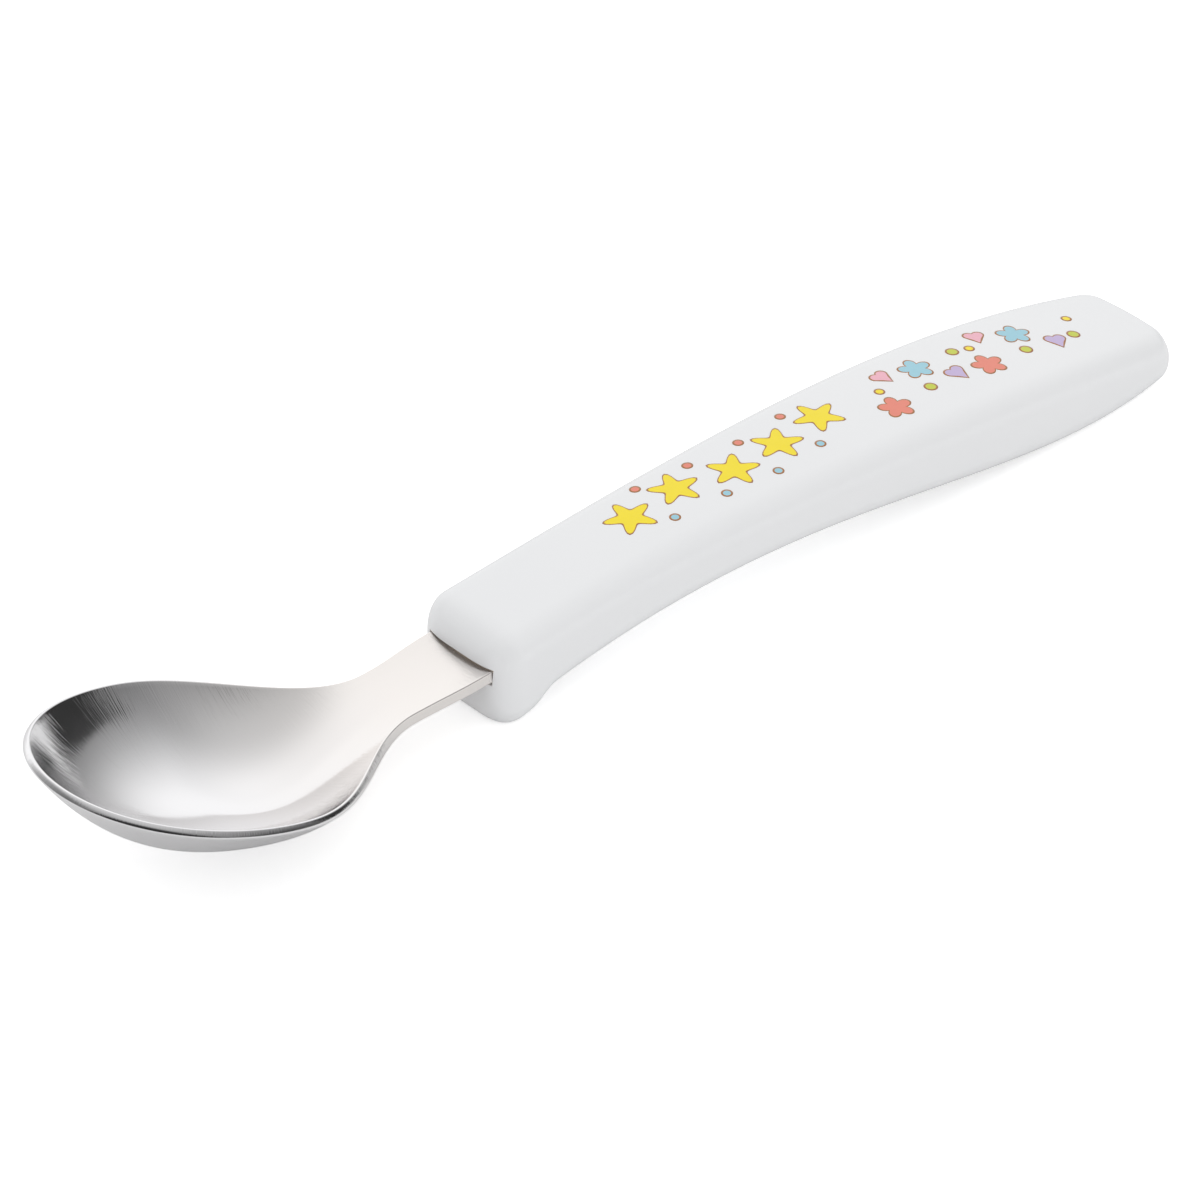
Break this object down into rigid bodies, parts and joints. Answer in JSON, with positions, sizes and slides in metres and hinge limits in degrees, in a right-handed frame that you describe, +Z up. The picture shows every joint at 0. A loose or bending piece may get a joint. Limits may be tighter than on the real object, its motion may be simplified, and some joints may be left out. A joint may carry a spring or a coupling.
{
  "type": "training spoon",
  "caption": "Small child's training spoon: a deep polished steel bowl on a flat neck, set in a thick arched plastic handle with a finger stop below its front.",
  "frame": {"origin": "on the table, under the middle of the spoon's length and width", "axes": "+X from the bowl's tip towards the handle's tail, +Z up from the table, and the spoon is a mirror image about the XZ plane"},
  "size_m": [0.1434, 0.0298, 0.0153],
  "materials": {
    "steel": "polished",
    "handle_plastic": "gloss",
    "resin": "matte"
  },
  "bodies": {
    "root": {"spoon_head": "steel", "handle": "handle_plastic", "tang_bond": "resin"}
  },
  "joints": []
}
